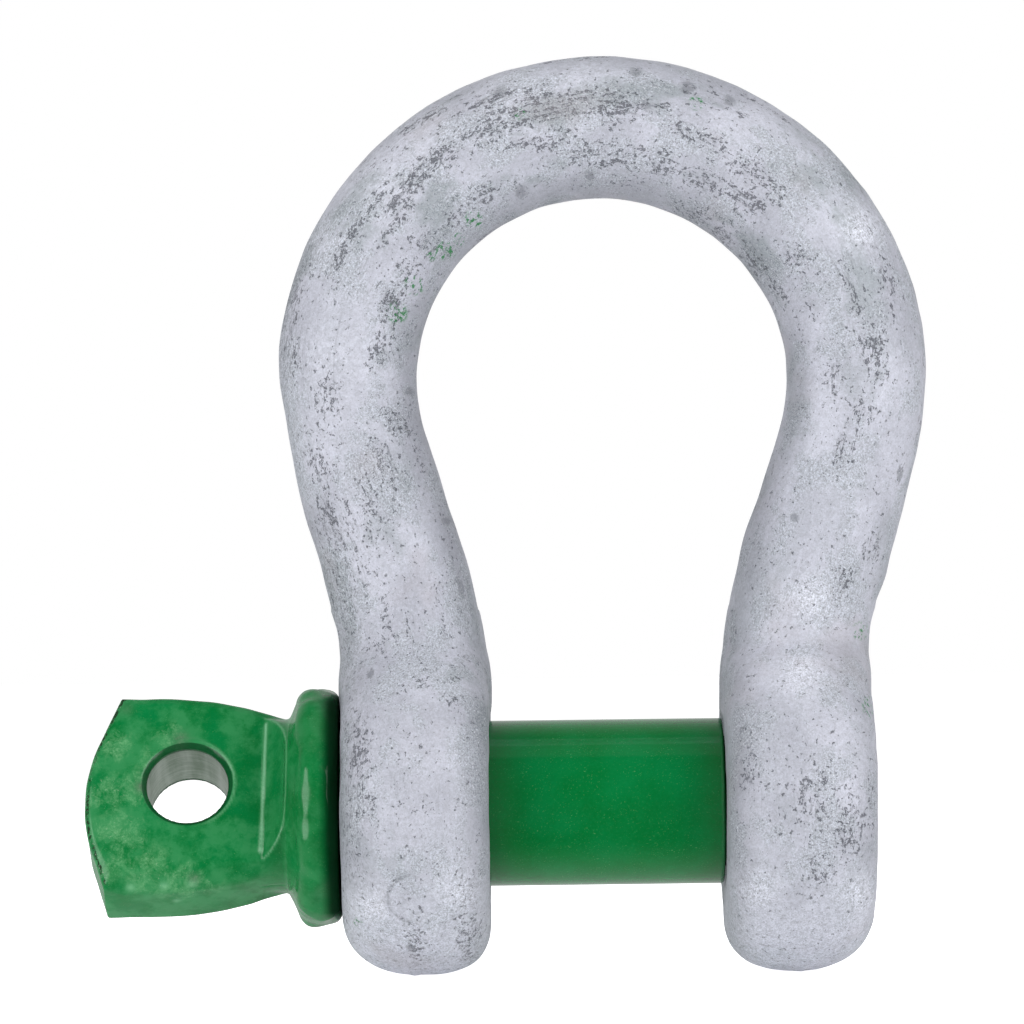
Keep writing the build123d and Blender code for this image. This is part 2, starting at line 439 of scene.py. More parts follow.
def shoulder_distance(y, z, across):
    """The flare from the round bar to the wider ear, hollow on both its sides."""
    centre_y = BAR_RADIUS + SHOULDER_RADIUS
    centre_z = math.sqrt((EAR_RADIUS + SHOULDER_RADIUS) ** 2 - centre_y**2)
    tangent_z = centre_z * EAR_RADIUS / (EAR_RADIUS + SHOULDER_RADIUS)
    drop = np.clip(centre_z - z, 0.0, centre_z - tangent_z)
    width = centre_y - np.sqrt(SHOULDER_RADIUS**2 - drop**2)
    swell = smooth_step(0.0, 1.0, drop / (centre_z - tangent_z))
    thick = BAR_RADIUS - 0.1 + 0.4 * swell
    k = np.hypot(across / thick, y / width)
    slope = np.hypot(across / thick**2, y / width**2) / np.maximum(k, 1e-6)
    body = (k - 1) / np.maximum(slope, 0.02)
    return np.maximum(np.maximum(body, z - centre_z), 8.0 - z)


def hole_distance(x, radius, size):
    """Distance to an ear's hole along X, whose mouths are chamfered, negative in the hole."""
    u = np.abs(x)
    near_mouth = np.maximum(EAR_INNER_X + HOLE_CHAMFER - u, u - (EAR_OUTER_X - HOLE_CHAMFER))
    return radius - size - np.maximum(near_mouth, 0.0)


def tapped_depth(x, y, z):
    """The tapped thread's grooves in the far ear, cut outwards from the smooth hole."""
    turn = np.arctan2(z, y) / (2 * math.pi)
    u = np.abs((x / THREAD_PITCH - turn) % 1.0 - 0.5) * 2
    return TAPPED_DEPTH * smooth_step(0.15, 0.85, u)


# Seed, size in millimetres and, for the last kind, the number of waves
bow_waves = Lumps(11, 26.0)
bow_ripple = Lumps(12, 9.0)
bow_dimple = Lumps(13, 3.6, 24)
seam_wander = Lumps(14, 12.0)


def bow_forging(x, y, z):
    """How far the bow's skin stands out from its plain form: lumps, seam, dents, pits and knob."""
    uneven = 0.13 * bow_waves(x, y, z) + 0.10 * bow_ripple(x, y, z)
    uneven += 0.04 * bow_dimple(x, y, z)
    seam_x = np.abs(x) - EAR_X - 0.5 * seam_wander(x, y, z)
    on_rim = smooth_step(22.0, 25.0, np.hypot(y, z)) * smooth_step(4.0, -8.0, z)
    uneven += 0.16 * on_rim * np.exp(-((seam_x / 0.55) ** 2))
    front = smooth_step(0.0, -3.0, y)
    for side, height, spread, depth in SHOULDER_DENTS:
        uneven -= depth * front * (np.sign(x) == side) * np.exp(-(((z - height) / spread) ** 2))
    for pit_x, pit_z, reach in PIT_PLACES:
        uneven -= 0.12 * front * np.exp(-((x - pit_x) ** 2 + (z - pit_z) ** 2) / reach**2)
    in_boss = smooth_step(BOSS[2] + 0.3, BOSS[2] - 0.3, np.hypot(x - BOSS[0], z - BOSS[1]))
    uneven -= 0.45 * front * in_boss * smooth_step(3.0, -1.5, x - BOSS[0])
    knob = np.exp(-((x - KNOB[0]) ** 2 + (z - KNOB[1]) ** 2) / KNOB[2] ** 2)
    uneven += 0.35 * front * knob
    return np.clip(uneven, -0.6, 0.3)


def bow_distance(x, y, z):
    across, _, _ = bar_frame(x, z)
    bar = bar_distance(x, y, z, across)
    ears = ear_distance(x, y, z)
    solid = smooth_min(smooth_min(bar, shoulder_distance(y, z, across), 0.8), ears, 1.6)
    near = np.abs(solid) < 2.0
    solid[near] -= bow_forging(x[near], y[near], z[near])
    radius = np.hypot(y, z)
    plain = hole_distance(x, radius, PLAIN_HOLE_RADIUS)
    far = (hole_distance(x, radius, FAR_HOLE_RADIUS) - tapped_depth(x, y, z)) * SLANT
    return smooth_max(solid, -np.where(x < 0, plain, far), 0.35)


# ------------------------------ screw pin

INSIDE_COLLAR_X = -44.0         # where the parts that meet in the collar end
PAST_AXIS = -30.0               # how deep a half section goes, so that its foot never shows
FAR_OFF = 50.0                  # the distance given where a part isn't worked out


def arc_through(a, b, c, count):
    """Points on the circle through three points, the short way from a to c."""
    a, b, c = (complex(*p) for p in (a, b, c))
    w = (c - a) / (b - a)
    centre = a - (a - b) * (w - abs(w) ** 2) / (2j * w.imag)
    sweep = cmath.phase((c - centre) / (a - centre))
    points = [centre + (a - centre) * cmath.exp(1j * sweep * i / count) for i in range(count + 1)]
    return [(point.real, point.imag) for point in points]


def smooth_curve(run, value, end_slope=None, count=8):
    """Points (run, value) on a smooth curve through the given ones."""
    slopes = np.gradient(value, run)
    if end_slope is not None:
        slopes[-1] = end_slope
    curve = []
    for i in range(len(run) - 1):
        long = run[i + 1] - run[i]
        for t in np.arange(count) / count:
            here = (2 * t**3 - 3 * t**2 + 1) * value[i] + (t**3 - 2 * t**2 + t) * long * slopes[i]
            here += (3 * t**2 - 2 * t**3) * value[i + 1] + (t**3 - t**2) * long * slopes[i + 1]
            curve.append((float(run[i] + long * t), float(here)))
    curve.append((run[-1], value[-1]))
    return curve


def tab_outline():
    """The tab seen square on: (x, half width), the far end forged unevenly."""
    flank = smooth_curve(*zip(*TAB_FLANK), end_slope=0.0)
    back = [(x, -width) for x, width in reversed(flank)]
    end_x, end_width = zip(*reversed(TAB_END))
    end = [(x, width) for width, x in reversed(smooth_curve(end_width, end_x))]
    return flank + end + back


def neck_profile():
    """The neck's half height over the tab's middle plane: (x, height)."""
    top = NECK_RADIUS + 0.8
    ramp_long = COLLAR_BACK_X - RAMP_X
    hollow = (RAMP_X + 0.62 * ramp_long, TAB_HALF + 0.38 * (NECK_RADIUS - TAB_HALF))
    ramp = arc_through((RAMP_X, TAB_HALF - 0.1), hollow, (HEAD_X, top), 8)
    start = [(RAMP_X - 3.0, 0.0), (RAMP_X - 3.0, TAB_HALF - 0.4)]
    return start + ramp + [(INSIDE_COLLAR_X, top), (INSIDE_COLLAR_X, 0.0)]


def collar_profile():
    """The collar's half section, shrunk by the rounding that is put back on it: (x, radius)."""
    extra = COLLAR_OUTER_ROUNDING - COLLAR_ROUNDING
    corner_x = COLLAR_BACK_X + COLLAR_SLOPE + COLLAR_OUTER_ROUNDING
    rim = COLLAR_RADIUS - COLLAR_ROUNDING
    outer = []
    for angle in np.linspace(0.0, math.pi / 2, 6):
        outer.append((corner_x - extra * math.cos(angle), rim - extra + extra * math.sin(angle)))
    foot_x = COLLAR_BACK_X + COLLAR_ROUNDING
    foot = [(foot_x, PAST_AXIS), (foot_x, NECK_RADIUS - 0.6)]
    inner_x = COLLAR_FACE_X - COLLAR_ROUNDING
    return foot + outer + [(inner_x - 1.0, rim), (inner_x, rim - COLLAR_FALL), (inner_x, PAST_AXIS)]


TAB_OUTLINE = tab_outline()
NECK_PROFILE = neck_profile()
COLLAR_PROFILE = collar_profile()
SHANK_PROFILE = [
    (INSIDE_COLLAR_X - 1.0, PAST_AXIS),
    (INSIDE_COLLAR_X - 1.0, SHANK_RADIUS),
    (SHANK_END_X - SHANK_CHAMFER, SHANK_RADIUS),
    (SHANK_END_X, SHANK_RADIUS - SHANK_CHAMFER),
    (SHANK_END_X, PAST_AXIS),
]


def tab_frame(y, z):
    """Turns y and z into the tab's own width and height, its height towards the front."""
    width = y * math.sin(TAB_TILT) + z * math.cos(TAB_TILT)
    height = -y * math.cos(TAB_TILT) + z * math.sin(TAB_TILT)
    return width, height


def ramp_distances(x, y, z, height):
    """The wedge that ramps up from the tab's flats, and the round neck that cuts it off."""
    wedge = polygon_distance(x, np.abs(height), NECK_PROFILE)
    cone = np.hypot(y, z) - NECK_RADIUS - np.maximum(HEAD_X - x, 0.0) * NECK_TAPER
    return wedge, cone


def from_bead(x, width):
    """How far a point lies past the bead where the tab's flat meets its ramp."""
    return x - RAMP_X - 0.1 - 0.03 * width


def head_distance(x, y, z):
    width, height = tab_frame(y, z)
    flat = polygon_distance(x, width, TAB_OUTLINE)
    front = smooth_step(-79.0, -74.0, x) * (height > 0)
    low = smooth_step(-4.0, -10.0, width) * front
    high = smooth_step(4.0, 10.0, width) * front
    rounding = TAB_ROUNDING + (TAB_LOW_ROUNDING - TAB_ROUNDING) * low
    rounding = rounding + (TAB_TOP_ROUNDING - TAB_ROUNDING) * high
    tab = rounded_slab(flat, height, TAB_HALF, rounding)
    wedge, cone = ramp_distances(x, y, z, height)
    bead = 0.16 * np.exp(-((from_bead(x, width) / 0.32) ** 2))
    bead = bead * smooth_step(11.6, 10.4, np.abs(width))
    head = smooth_min(tab, smooth_max(wedge, cone, 0.3), 0.35) - bead
    eye = np.hypot(x - EYE_X, width - EYE_LIFT)
    mouth = np.maximum(np.abs(height) - (TAB_HALF - EYE_CHAMFER), 0.0)
    bore = (eye - EYE_RADIUS - mouth) * np.where(mouth > 0, SLANT, 1.0)
    lip = 0.12 * np.exp(-(((eye - EYE_RADIUS - EYE_CHAMFER - 0.35) / 0.3) ** 2))
    return smooth_max(head - lip, -bore, 0.2)


def thread_distance(x, y, z):
    """The threaded end: a helical ridge with 60 degree flanks, its relief and its chamfer."""
    radius = np.hypot(y, z)
    turn = np.arctan2(z, y) / (2 * math.pi)
    u = np.abs((x / THREAD_PITCH - turn) % 1.0 - 0.5) * THREAD_PITCH
    flank = (u - THREAD_PITCH / 16) / math.tan(math.radians(30))
    ridge = np.clip(THREAD_RADIUS - np.maximum(flank, 0.0), THREAD_ROOT, THREAD_RADIUS)
    run_out = THREAD_ROOT - 0.05 + np.maximum(x - SHANK_END_X - THREAD_RELIEF, 0.0)
    chamfer = THREAD_RADIUS - np.maximum(x - (PIN_END_X - THREAD_CHAMFER), 0.0)
    side = (radius - np.minimum(np.minimum(ridge, run_out), chamfer)) * FLANK_SLANT
    return np.maximum(side, np.maximum(x - PIN_END_X, SHANK_END_X - 4.0 - x))


pin_waves = Lumps(21, 13.0)
pin_ripple = Lumps(22, 4.5)
collar_waves = Lumps(23, 7.5)
collar_ripple = Lumps(24, 3.4, 24)


def pin_forging(x, y, z):
    """How far the tab's and collar's skin stands out from its plain form, calm round the eye."""
    uneven = 0.10 * pin_waves(x, y, z) + 0.045 * pin_ripple(x, y, z)
    on_collar = smooth_step(14.0, 17.0, np.hypot(y, z)) * smooth_step(-51.0, -49.0, x)
    uneven += on_collar * (0.34 * (collar_waves(x, y, z) - 0.25) + 0.11 * collar_ripple(x, y, z))
    eye_r = np.hypot(x - EYE_X, tab_frame(y, z)[0] - EYE_LIFT)
    calm = smooth_step(7.0, 8.5, eye_r) * smooth_step(COLLAR_FACE_X, COLLAR_FACE_X - 1.5, x)
    return np.clip(uneven, -0.6, 0.22) * calm


def pin_distance(x, y, z):
    radius = np.hypot(y, z)
    collar = polygon_distance(x, np.hypot(y, z + COLLAR_DROP), COLLAR_PROFILE) - COLLAR_ROUNDING
    shank = polygon_distance(x, radius, SHANK_PROFILE)
    solid = smooth_min(collar, shank, 0.5)
    outer = x < INSIDE_COLLAR_X
    head = np.full(x.shape, FAR_OFF)
    head[outer] = head_distance(x[outer], y[outer], z[outer])
    solid = smooth_min(solid, head, 0.7)
    threaded = x > SHANK_END_X - 5.0
    screw = np.full(x.shape, FAR_OFF)
    screw[threaded] = thread_distance(x[threaded], y[threaded], z[threaded])
    solid = np.minimum(solid, screw)
    near = (np.abs(solid) < 1.5) & (x < COLLAR_FACE_X + 3.0)
    solid[near] -= pin_forging(x[near], y[near], z[near])
    return solid


# ------------------------------ meshes

def sample_field(distance, low, high, step):
    """The field on a grid, worked out a few planes at a time."""
    axes = [np.arange(low[i], high[i] + step, step) for i in range(3)]
    values = np.empty([len(a) for a in axes], np.float32)
    planes = 12
    for i in range(0, len(axes[0]), planes):
        x, y, z = np.meshgrid(axes[0][i:i + planes], axes[1], axes[2], indexing="ij")
        values[i:i + planes] = distance(x, y, z)
    return values


def settle(points, distance, rounds=2):
    """Moves points onto the exact surface."""
    reach = 0.02
    for _ in range(rounds):
        x, y, z = points.T.copy()
        here = distance(x, y, z)
        slope = np.stack([
            distance(x + reach, y, z) - here,
            distance(x, y + reach, z) - here,
            distance(x, y, z + reach) - here,
        ], axis=1) / reach
        steep = np.maximum((slope**2).sum(axis=1), 0.05)
        shift = slope * (here / steep)[:, None]
        long = np.maximum(np.linalg.norm(shift, axis=1) / 0.3, 1.0)
        points = points - shift / long[:, None]
    return points


def smooth_mesh(name, points, triangles, quads):
    mesh = bpy.data.meshes.new(name)
    corners = np.concatenate([triangles.ravel(), quads.ravel()]).astype(np.int32)
    sizes = np.concatenate([np.full(len(triangles), 3), np.full(len(quads), 4)])
    mesh.vertices.add(len(points))
    mesh.vertices.foreach_set("co", (points * MM).astype(np.float32).ravel())
    mesh.loops.add(len(corners))
    mesh.loops.foreach_set("vertex_index", corners)
    mesh.polygons.add(len(sizes))
    starts = np.concatenate([[0], np.cumsum(sizes)[:-1]]).astype(np.int32)
    mesh.polygons.foreach_set("loop_start", starts)
    mesh.polygons.foreach_set("use_smooth", np.ones(len(sizes), bool))
    mesh.update(calc_edges=True)
    mesh.validate()
    obj = bpy.data.objects.new(name, mesh)
    bpy.context.scene.collection.objects.link(obj)
    return obj


def skin(name, distance, box, step):
    """A mesh over the field's surface, in metres."""
    margin = 3 * step
    low = [c / MM - margin for c in box[0]]
    high = [c / MM + margin for c in box[1]]
    values = sample_field(distance, low, high, step)
    grid = openvdb.FloatGrid(3 * step)
    grid.copyFromArray(np.clip(values, -3 * step, 3 * step))
    grid.transform = openvdb.createLinearTransform(voxelSize=step)
    points, triangles, quads = grid.convertToPolygons(0.0, 0.0)
    points = settle(points.astype(np.float64) + np.array(low), distance)
    return smooth_mesh(name, points, triangles, quads), points


def face_outwards(obj):
    """Turns every face if the mesh came out inside out."""
    mesh = obj.data
    centres = np.empty(len(mesh.polygons) * 3)
    normals = np.empty(len(mesh.polygons) * 3)
    areas = np.empty(len(mesh.polygons))
    mesh.polygons.foreach_get("center", centres)
    mesh.polygons.foreach_get("normal", normals)
    mesh.polygons.foreach_get("area", areas)
    flow = (centres.reshape(-1, 3) * normals.reshape(-1, 3)).sum(axis=1) * areas
    if flow.sum() < 0:
        mesh.flip_normals()


def add_vector(obj, name, values):
    layer = obj.data.attributes.new(name, "FLOAT_VECTOR", "POINT")
    layer.data.foreach_set("vector", values.astype(np.float32).ravel())


def add_number(obj, name, values):
    layer = obj.data.attributes.new(name, "FLOAT", "POINT")
    layer.data.foreach_set("value", values.astype(np.float32))


# ------------------------------ shader helpers

def fill(tree, made, inputs):
    """Sets a node's inputs, by name or number, from values or from sockets to link."""
    for key, value in inputs.items():
        socket = made.inputs[key]
        if isinstance(value, bpy.types.NodeSocket):
            tree.links.new(value, socket)
        else:
            socket.default_value = value


def node(tree, kind, inputs=None, **settings):
    made = tree.nodes.new(kind)
    for key, value in settings.items():
        setattr(made, key, value)
    fill(tree, made, inputs or {})
    return made


def noise(tree, place, scale, detail=3.0, rough=0.55, twist=0.0):
    made = node(tree, "ShaderNodeTexNoise", {
        "Vector": place, "Scale": scale, "Detail": detail, "Roughness": rough, "Distortion": twist,
    })
    return made.outputs["Fac"]


def stretched(tree, place, scale, turn=(0, 0, 0)):
    made = node(tree, "ShaderNodeMapping", {"Vector": place, "Scale": scale, "Rotation": turn})
    return made.outputs["Vector"]


def between(tree, value, low, high, start=0.0, end=1.0):
    """Goes smoothly from start to end as the value goes from low to high."""
    made = node(tree, "ShaderNodeMapRange", {
        "Value": value, "From Min": low, "From Max": high, "To Min": start, "To Max": end,
    }, interpolation_type="SMOOTHSTEP")
    return made.outputs["Result"]


def math_node(tree, operation, a, b=0.0):
    return node(tree, "ShaderNodeMath", {0: a, 1: b}, operation=operation).outputs[0]


def times(tree, a, b):
    return math_node(tree, "MULTIPLY", a, b)


def plus(tree, a, b):
    return math_node(tree, "ADD", a, b)


def minus(tree, a, b):
    return math_node(tree, "SUBTRACT", a, b)


def larger(tree, a, b):
    return math_node(tree, "MAXIMUM", a, b)


def attribute(tree, name, output="Fac"):
    return node(tree, "ShaderNodeAttribute", attribute_name=name).outputs[output]


def mixed(tree, factor, a, b, how="MIX"):
    made = node(tree, "ShaderNodeMix", {0: factor, 6: a, 7: b}, data_type="RGBA", blend_type=how)
    return made.outputs[2]


def rgb(red, green, blue):
    return (red, green, blue, 1.0)


def new_material(name):
    material = bpy.data.materials.new(name)
    material.use_nodes = True
    tree = material.node_tree
    tree.nodes.clear()
    shader = node(tree, "ShaderNodeBsdfPrincipled")
    out = node(tree, "ShaderNodeOutputMaterial")
    tree.links.new(shader.outputs[0], out.inputs["Surface"])
    return material, tree, shader


# ------------------------------ materials

def zinc_coat(tree, bar, cloud, grain, grit, frost):
    """The coating's colour: cloudy and frosted, dull where it is aged and white in places, with painted
    light whitening the ears' bottoms and painted shade darkening the bar's inner and outer faces.
    """
    clouded = between(tree, cloud, 0.38, 0.62)
    colour = mixed(tree, clouded, rgb(0.500, 0.512, 0.580), rgb(0.600, 0.612, 0.690))
    colour = mixed(tree, times(tree, frost, 0.8), colour, rgb(0.520, 0.548, 0.605))
    dull = noise(tree, stretched(tree, bar, (0.6, 1, 1)), 0.11, 4.0, 0.6)
    dull = times(tree, between(tree, dull, 0.50, 0.66), attribute(tree, "age"))
    colour = mixed(tree, times(tree, dull, 0.85), colour, rgb(0.35, 0.385, 0.415))
    # white zinc, with painted light on the ears' bottoms
    white = attribute(tree, "white")
    whiter = times(tree, white, between(tree, grit, 0.35, 0.6, 0.45, 1.0))
    colour = mixed(tree, times(tree, whiter, 0.85), colour, rgb(0.78, 0.80, 0.88))
    speck = between(tree, grain, 0.30, 0.70, -0.46, 0.36)
    coarse = larger(tree, between(tree, frost, 0.0, 1.0, 0.22, 0.72), times(tree, white, 0.8))
    dim = plus(tree, 1.0, times(tree, speck, coarse))
    dim = plus(tree, dim, between(tree, grit, 0.3, 0.7, -0.08, 0.07))
    # painted shade: darker on the bar's inner faces and a little on its outer faces, which turn away from
    # the lights
    across = node(tree, "ShaderNodeSeparateXYZ", {0: bar}).outputs[1]
    inner_face_shade = between(tree, across, -5.5, -11.0, 1.0, 0.74)
    outer_face_shade = between(tree, across, 7.5, 11.2, 1.0, 0.86)
    dim = times(tree, dim, times(tree, inner_face_shade, outer_face_shade))
    return mixed(tree, 1.0, colour, dim, "MULTIPLY")


def zinc_marks(tree, bar):
    """Dark dross and wear, gathered in rows along the bar."""
    worn = attribute(tree, "worn")
    zone = noise(tree, stretched(tree, bar, (0.30, 1, 1)), 0.17, 4.0, 0.62)
    rows = noise(tree, stretched(tree, bar, (0.07, 1, 1)), 0.60, 3.0, 0.65)
    rows = between(tree, rows, 0.42, 0.55, 0.15, 1.0)
    aged = times(tree, between(tree, zone, 0.50, 0.66), times(tree, attribute(tree, "age"), rows))
    cluster = plus(tree, aged, times(tree, worn, larger(tree, rows, 0.6)))
    cluster = math_node(tree, "MINIMUM", cluster, 1.15)

    curl = noise(tree, stretched(tree, bar, (0.75, 1.1, 1.1)), 1.3, 3.0, 0.62, 0.8)
    thin = between(tree, math_node(tree, "ABSOLUTE", minus(tree, curl, 0.5)), 0.085, 0.045)
    broken = plus(tree, noise(tree, bar, 1.2, 3.0, 0.7), times(tree, cluster, 0.15))
    curls = times(tree, thin, between(tree, broken, 0.62, 0.66))
    flake = noise(tree, stretched(tree, bar, (0.6, 1, 1)), 2.1, 3.0, 0.7)
    flake = plus(tree, flake, times(tree, cluster, 0.085))
    marks = larger(tree, curls, between(tree, flake, 0.675, 0.705))

    peppered = noise(tree, stretched(tree, bar, (0.45, 1, 1)), 2.6, 3.0, 0.75)
    peppered = times(tree, between(tree, peppered, 0.56, 0.61), times(tree, attribute(tree, "pepper"), 0.6))
    drawn = noise(tree, stretched(tree, bar, (0.11, 1.3, 1.3)), 1.5, 3.0, 0.7)
    drawn = times(tree, between(tree, drawn, 0.55, 0.60), between(tree, flake, 0.52, 0.62))
    drawn = times(tree, drawn, between(tree, worn, 0.25, 0.8, 0.0, 0.6))
    return larger(tree, larger(tree, marks, peppered), drawn)


def zinc_pits_and_shade_line(tree, bar, grit):
    """Round pits, a few at random and the placed ones, and a painted shade line round the rim of the left
    ear's hollow.
    """
    oval = node(tree, "ShaderNodeTexVoronoi", {
        "Vector": stretched(tree, bar, (0.62, 1, 1)), "Scale": 0.15, "Randomness": 1.0,
    })
    wobble = plus(tree, oval.outputs["Distance"], between(tree, grit, 0.3, 0.7, -0.05, 0.05))
    chosen = node(tree, "ShaderNodeSeparateColor", {0: oval.outputs["Color"]}).outputs[0]
    strewn = times(tree, between(tree, wobble, 0.17, 0.09), between(tree, chosen, 0.93, 0.96))
    placed = plus(tree, attribute(tree, "pit_and_boss_shade"), between(tree, grit, 0.3, 0.7, -0.25, 0.25))
    return larger(tree, strewn, between(tree, placed, 0.35, 0.9))


def green_flecks(tree, bar):
    """Paint rubbed off the pin."""
    fleck = noise(tree, stretched(tree, bar, (0.7, 1, 1)), 1.3, 5.0, 0.72)
    return times(tree, between(tree, fleck, 0.53, 0.57), between(tree, attribute(tree, "green"), 0.25, 0.6))


def zinc_material():
    """Hot-dip galvanised steel: pale, mottled, grainy, with dark dross and scuffs along the bar."""
    material, tree, shader = new_material("galvanised_zinc")
    bar = attribute(tree, "bar", "Vector")
    cloud = noise(tree, bar, 0.085, 3.0, 0.5)
    grain = noise(tree, bar, 3.7, 2.0, 0.8)
    grit = noise(tree, bar, 1.3, 3.0, 0.7)
    frost = noise(tree, stretched(tree, bar, (0.7, 1, 1)), 0.16, 5.0, 0.62)
    smooth = between(tree, attribute(tree, "clean"), 0.2, 0.8, 1.0, 0.2)
    frost = times(tree, between(tree, frost, 0.45, 0.58), smooth)
    marks = zinc_marks(tree, bar)
    pits = zinc_pits_and_shade_line(tree, bar, grit)
    # painted highlight: pale specks standing in for light glinting off the frosted zinc
    glint = times(tree, between(tree, noise(tree, bar, 2.7, 2.0, 0.75), 0.62, 0.68), frost)
    lines = noise(tree, stretched(tree, bar, (0.05, 1.6, 1.6)), 1.0, 3.0, 0.7)
    lines = times(tree, between(tree, lines, 0.61, 0.66), between(tree, cloud, 0.55, 0.45, 0.0, 0.5))
    warm = between(tree, noise(tree, bar, 0.05, 3.0, 0.6), 0.58, 0.72, 0.0, 0.25)

    colour = zinc_coat(tree, bar, cloud, grain, grit, frost)
    colour = mixed(tree, times(tree, lines, 0.5), colour, rgb(0.28, 0.29, 0.33))
    colour = mixed(tree, times(tree, glint, 0.6), colour, rgb(0.88, 0.90, 0.96))
    # dark pits, and the painted shade line round the left ear's hollow
    colour = mixed(tree, times(tree, pits, 0.55), colour, rgb(0.17, 0.18, 0.20))
    colour = mixed(tree, times(tree, marks, 0.78), colour, rgb(0.09, 0.095, 0.115))
    colour = mixed(tree, warm, colour, rgb(0.47, 0.43, 0.46))
    colour = mixed(tree, times(tree, green_flecks(tree, bar), 0.9), colour, rgb(0.015, 0.22, 0.05))

    dark = larger(tree, marks, pits)
    rough = plus(tree, between(tree, frost, 0.0, 1.0, 0.60, 0.72), times(tree, dark, 0.1))
    height = minus(tree, times(tree, times(tree, grain, frost), 0.8), times(tree, dark, 0.8))
    height = plus(tree, height, times(tree, grit, 0.6))
    bump = node(tree, "ShaderNodeBump", {"Height": height, "Strength": 0.7, "Distance": 0.0002})
    fill(tree, shader, {
        "Base Color": colour,
        "Roughness": rough,
        "Metallic": 0.2,
        "Normal": bump.outputs[0],
    })
    return material


def enamel(tree, place, fine, chalky):
    """The paint's own colour: a deep green, dusty, and chalkier on the head."""
    cloud = between(tree, noise(tree, place, 0.12, 3.0, 0.5), 0.3, 0.7)
    colour = mixed(tree, cloud, rgb(0.001, 0.155, 0.030), rgb(0.002, 0.185, 0.045))
    colour = mixed(tree, between(tree, fine, 0.42, 0.72, 0.0, 0.14), colour, rgb(0.01, 0.25, 0.08))
    dusty = between(tree, noise(tree, place, 0.35, 2.0, 0.5), 0.4, 0.6, 0.3, 1.0)
    dust = between(tree, noise(tree, place, 4.2, 2.0, 0.65), 0.60, 0.72, 0.0, 0.32)
    colour = mixed(tree, times(tree, dust, dusty), colour, rgb(0.16, 0.40, 0.16))
    haze = between(tree, noise(tree, place, 0.22, 5.0, 0.65), 0.38, 0.62, 0.0, 0.85)
    return mixed(tree, times(tree, chalky, haze), colour, rgb(0.035, 0.255, 0.085))


def scuffs(tree, colour, place, powder):
    """Scraped and chipped paint on the tab: the colour with it, and how worn it is."""
    scuffed = attribute(tree, "scuffed")
    brushed = stretched(tree, place, (1.0, 1.0, 0.7), (0.0, 0.7, 0.0))
    scraped = plus(tree, noise(tree, brushed, 0.34, 8.0, 0.74, 0.4), times(tree, scuffed, 0.16))
    pale = times(tree, between(tree, scraped, 0.50, 0.72), between(tree, powder, 0.30, 0.66, 0.30, 1.0))
    pale = times(tree, pale, between(tree, scuffed, 0.05, 0.5))
    colour = mixed(tree, times(tree, pale, 0.75), colour, rgb(0.135, 0.385, 0.170))
    chip = between(tree, plus(tree, powder, times(tree, scuffed, 0.05)), 0.68, 0.72)
    chip = times(tree, chip, between(tree, scuffed, 0.25, 0.5))
    colour = mixed(tree, times(tree, chip, 0.45), colour, rgb(0.36, 0.44, 0.32))
    return colour, larger(tree, pale, chip)


def stains_and_painted_light(tree, colour, powder, eye_r):
    """Smudges, painted highlight lines along the creases and beside the eye, painted shade in the eye's
    chamfer, and the shank darker next to the ears.
    """
    smudged = times(tree, attribute(tree, "smudge"), between(tree, powder, 0.30, 0.62, 0.6, 1.0))
    colour = mixed(tree, times(tree, smudged, 0.8), colour, rgb(0.13, 0.145, 0.12))
    # painted highlight: pale green lines along the tab's creases and beside the eye, with pale dried drops
    # of paint
    colour = mixed(tree, times(tree, attribute(tree, "crease_highlight_and_drops"), 0.75), colour, rgb(0.26, 0.58, 0.34))
    # painted shade: dark green in the eye's chamfer, which faces away from the light
    chamfer_shade = between(tree, eye_r, 7.08, 6.95, 0.0, 0.8)
    colour = mixed(tree, chamfer_shade, colour, rgb(0.001, 0.055, 0.014))
    # the shank darker green where it meets the ears' inner faces
    darker_by_ears = times(tree, attribute(tree, "ends"), between(tree, powder, 0.3, 0.6, 0.45, 1.0))
    return mixed(tree, times(tree, darker_by_ears, 0.6), colour, rgb(0.022, 0.110, 0.036))


def chipped_rim(tree, colour, place, powder):
    """Paint knocked off the tab's far rim: the colour with it, and where it is."""
    rim = attribute(tree, "rim")
    ragged = plus(tree, noise(tree, place, 0.9, 5.0, 0.75), times(tree, rim, 0.16))
    chipped = times(tree, between(tree, ragged, 0.60, 0.64), between(tree, rim, 0.35, 0.6))
    bright = times(tree, between(tree, powder, 0.60, 0.66), between(tree, rim, 0.2, 0.5))
    colour = mixed(tree, times(tree, bright, 0.6), colour, rgb(0.50, 0.56, 0.48))
    return mixed(tree, times(tree, chipped, 0.88), colour, rgb(0.020, 0.028, 0.018)), chipped


def eye_steel(tree, eye_x, eye_w, eye_h):
    """Bare drilled steel: its colour, with bands of painted sheen across fine rings, and the rings."""
    rings = node(tree, "ShaderNodeCombineXYZ", {
        0: times(tree, eye_h, 2.6), 1: times(tree, eye_x, 0.25), 2: times(tree, eye_w, 0.25),
    })
    turned = noise(tree, rings.outputs[0], 1.0, 4.0, 0.7)
    # painted sheen: light and dark bands running along the bore
    bands = node(tree, "ShaderNodeCombineXYZ", {0: times(tree, eye_h, 0.12), 1: eye_x, 2: eye_w})
    sheen_bands = noise(tree, bands.outputs[0], 0.35, 3.0, 0.55)
    sheen = plus(tree, times(tree, turned, 0.4), times(tree, sheen_bands, 0.6))
    steel = mixed(tree, between(tree, sheen, 0.36, 0.66), rgb(0.20, 0.275, 0.205), rgb(0.46, 0.53, 0.47))
    return steel, turned


